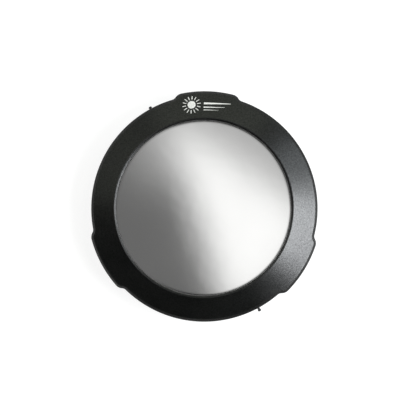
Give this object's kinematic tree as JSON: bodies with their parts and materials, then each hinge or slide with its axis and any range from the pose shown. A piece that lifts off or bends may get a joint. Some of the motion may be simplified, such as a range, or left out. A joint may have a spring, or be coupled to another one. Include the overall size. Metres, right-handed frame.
{
  "type": "telescope solar filter cell",
  "caption": "Slip-over solar filter cell: conical black bezel, metallised film window, sprung centring shoes in the lobes, strap posts and straps.",
  "frame": {"origin": "on the optical axis, in the plane of the collar's rear rim, where the tube goes in", "axes": "+Z along the optical axis towards the Sun, +Y through the middle of the first lobe, +X to the right seen from the front"},
  "size_m": [0.26, 0.2648, 0.0424],
  "materials": {
    "bezel_plastic": "satin moulded",
    "collar_plastic": "matt moulded",
    "hoop_plastic": "matt moulded",
    "film_metallised": "soft metallised film",
    "gasket_rubber": "matt die-cut foam rubber",
    "seat_felt": "pressed felt",
    "shoe_plastic": "matt moulded",
    "pad_rubber": "matt moulded",
    "spring_steel": "drawn wire, bright",
    "screw_steel": "black oxide",
    "post_metal": "turned steel, black coat",
    "nut_steel": "zinc plated",
    "clip_steel": "pressed steel, black coat",
    "strap_webbing": "woven hook-and-loop tape"
  },
  "bodies": {
    "cell": {"front_bezel": "bezel_plastic", "film_front_hoop": "hoop_plastic", "solar_film": "film_metallised", "film_rear_hoop": "hoop_plastic", "film_gasket": "gasket_rubber", "rear_collar": "collar_plastic", "seat_ring": "seat_felt", "collar_screws": "screw_steel", "cover_screws": "screw_steel", "shoe_springs_1": "spring_steel", "guide_cover_1": "collar_plastic", "shoe_springs_2": "spring_steel", "guide_cover_2": "collar_plastic", "shoe_springs_3": "spring_steel", "guide_cover_3": "collar_plastic", "strap_post_1": "post_metal", "post_nut_1": "nut_steel", "strap_post_2": "post_metal", "post_nut_2": "nut_steel"},
    "shoe_1": {"centring_shoe_1": "shoe_plastic", "grip_pad_1": "pad_rubber"},
    "shoe_2": {"centring_shoe_2": "shoe_plastic", "grip_pad_2": "pad_rubber"},
    "shoe_3": {"centring_shoe_3": "shoe_plastic", "grip_pad_3": "pad_rubber"},
    "clip_1": {"strap_clip_1": "clip_steel"},
    "clip_2": {"strap_clip_2": "clip_steel"},
    "strap_1": {"strap_1": "strap_webbing"},
    "strap_2": {"strap_2": "strap_webbing"}
  },
  "joints": [
    {"name": "shoe_1_slide", "type": "slide", "parent": "cell", "child": "shoe_1", "axis": [0, 1, 0], "range_m": [0, 0.0028], "stiffness_N_per_m": 800, "springref_m": -0.002, "deforming": ["shoe_springs_1"]},
    {"name": "shoe_2_slide", "type": "slide", "parent": "cell", "child": "shoe_2", "axis": [-0.866, -0.5, 0], "range_m": [0, 0.0028], "stiffness_N_per_m": 800, "springref_m": -0.002, "deforming": ["shoe_springs_2"]},
    {"name": "shoe_3_slide", "type": "slide", "parent": "cell", "child": "shoe_3", "axis": [0.866, -0.5, 0], "range_m": [0, 0.0028], "stiffness_N_per_m": 800, "springref_m": -0.002, "deforming": ["shoe_springs_3"]},
    {"name": "clip_1_swivel", "type": "hinge", "parent": "cell", "child": "clip_1", "pos_m": [-0.0638, 0.1105, 0.0096], "axis": [-0.5, 0.866, 0], "range_deg": [-110, 0]},
    {"name": "strap_1_flex", "type": "hinge", "parent": "clip_1", "child": "strap_1", "pos_m": [-0.07419, 0.1045, 0.0096], "axis": [0, 0, 1], "range_deg": [-80, 0]},
    {"name": "clip_2_swivel", "type": "hinge", "parent": "cell", "child": "clip_2", "pos_m": [0.0638, -0.1105, 0.0096], "axis": [0.5, -0.866, 0], "range_deg": [0, 110]},
    {"name": "strap_2_flex", "type": "hinge", "parent": "clip_2", "child": "strap_2", "pos_m": [0.05341, -0.1165, 0.0096], "axis": [0, 0, 1], "range_deg": [0, 80]}
  ]
}
